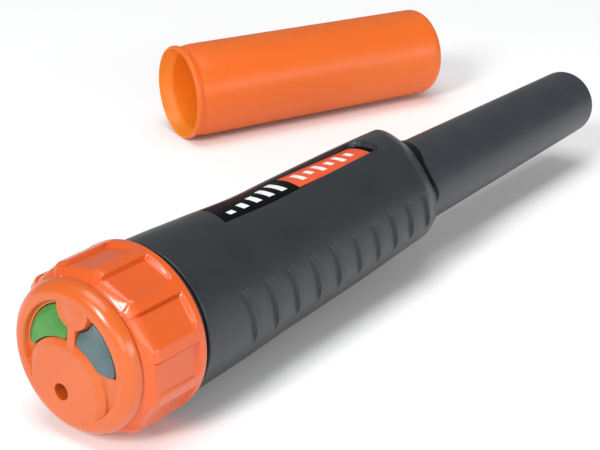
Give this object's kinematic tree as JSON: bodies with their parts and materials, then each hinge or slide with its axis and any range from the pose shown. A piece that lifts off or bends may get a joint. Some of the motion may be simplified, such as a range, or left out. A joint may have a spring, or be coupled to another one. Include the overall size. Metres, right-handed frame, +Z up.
{
  "type": "pinpointer probe",
  "caption": "Handheld metal-detecting pinpointer: tapered charcoal grip and probe, orange screw collar with keypad end, loose orange tip sleeve.",
  "frame": {"origin": "centre of the flat butt face, on the handle's axis", "axes": "+X along the handle towards the probe tip, +Z up through the label, +Y to the side where the loose sleeve lies"},
  "size_m": [0.2709, 0.1548, 0.0436],
  "materials": {
    "charcoal_body": "satin moulded plastic",
    "charcoal_grip": "fine-grained soft-touch plastic",
    "black_rubber": "matt rubber",
    "smoked_lens": "glossy smoked plastic",
    "clear_lens": "clear epoxy",
    "label_black": "glossy print",
    "label_orange": "glossy print",
    "label_white": "glossy print",
    "battery_case": "lacquered sleeve",
    "nickel": "plated",
    "black_plastic": "matt",
    "wire_red": "insulation",
    "wire_black": "insulation",
    "board_green": "solder resist",
    "chip_black": "matt",
    "capacitor_blue": "shrink sleeve",
    "ivory_plastic": "matt",
    "steel": "zinc plated",
    "ferrite": "sintered",
    "copper": "enamelled",
    "speaker_black": "matt",
    "mesh_grey": "woven",
    "orange_plastic": "glossy moulded plastic",
    "button_green": "satin",
    "button_grey": "satin",
    "sleeve_orange": "satin, slightly translucent"
  },
  "bodies": {
    "housing": {"body_tube": "charcoal_body", "grip_shell": "charcoal_grip", "probe_tube": "charcoal_body", "rear_seal": "black_rubber", "led_window": "smoked_lens", "torch_led": "clear_lens", "label_plate": "label_black", "label_field": "label_orange", "label_marks": "label_white", "battery": "battery_case", "battery_terminals": "nickel", "snap_connector": "black_plastic", "battery_leads": "wire_red", "battery_bulkhead": "black_plastic", "chassis": "black_plastic", "main_board": "board_green", "microcontroller": "chip_black", "amplifier_chips": "chip_black", "capacitors": "capacitor_blue", "board_plug": "ivory_plastic", "board_screws": "steel", "vibration_motor": "nickel", "motor_clip": "black_plastic", "coil_former": "ivory_plastic", "ferrite_rod": "ferrite", "transmit_coil": "copper", "receive_coil": "copper", "coil_leads": "copper", "tip_pad": "black_rubber", "keypad_leads": "wire_black"},
    "end_cap": {"end_plate": "orange_plastic", "cap_carrier": "black_plastic", "cap_oring": "black_rubber", "keypad_board": "board_green", "green_switch": "chip_black", "grey_switch": "chip_black", "speaker": "speaker_black", "port_mesh": "mesh_grey", "carrier_screws": "steel"},
    "cap_ring": {"cap_ring": "orange_plastic"},
    "green_button": {"green_button": "button_green"},
    "grey_button": {"grey_button": "button_grey"},
    "green_plunger": {"green_plunger": "ivory_plastic"},
    "grey_plunger": {"grey_plunger": "ivory_plastic"},
    "motor_weight": {"motor_weight": "steel"},
    "sleeve": {"protective_sleeve": "sleeve_orange"}
  },
  "joints": [
    {"name": "cap_draw", "type": "slide", "parent": "housing", "child": "end_cap", "axis": [-1, 0, 0], "range_m": [0, 0.008]},
    {"name": "collar_turn", "type": "hinge", "parent": "end_cap", "child": "cap_ring", "pos_m": [0.015, 0, 0], "axis": [-1, 0, 0], "range_deg": [0, 720]},
    {"name": "green_press", "type": "slide", "parent": "end_cap", "child": "green_button", "axis": [1, 0, 0], "range_m": [0, 0.0008], "stiffness_N_per_m": 2000},
    {"name": "grey_press", "type": "slide", "parent": "end_cap", "child": "grey_button", "axis": [1, 0, 0], "range_m": [0, 0.0008], "stiffness_N_per_m": 2000},
    {"name": "green_switch_travel", "type": "slide", "parent": "end_cap", "child": "green_plunger", "axis": [1, 0, 0], "range_m": [0, 0.0008]},
    {"name": "grey_switch_travel", "type": "slide", "parent": "end_cap", "child": "grey_plunger", "axis": [1, 0, 0], "range_m": [0, 0.0008]},
    {"name": "motor_spin", "type": "hinge", "parent": "housing", "child": "motor_weight", "pos_m": [0.104, 0, 0.0064], "axis": [1, 0, 0], "continuous": true},
    {"name": "sleeve_swing", "type": "hinge", "parent": "housing", "child": "sleeve", "pos_m": [0.51593, 0.31424, 0.00577], "axis": [-0.0368, 0.0074, 0.9993], "range_deg": [0, 22.88]}
  ],
  "couplings": [
    {"joint": "cap_draw", "follows": "collar_turn", "m_per_rad": 0.00063662},
    {"joint": "green_switch_travel", "follows": "green_press", "ratio": 1},
    {"joint": "grey_switch_travel", "follows": "grey_press", "ratio": 1}
  ]
}
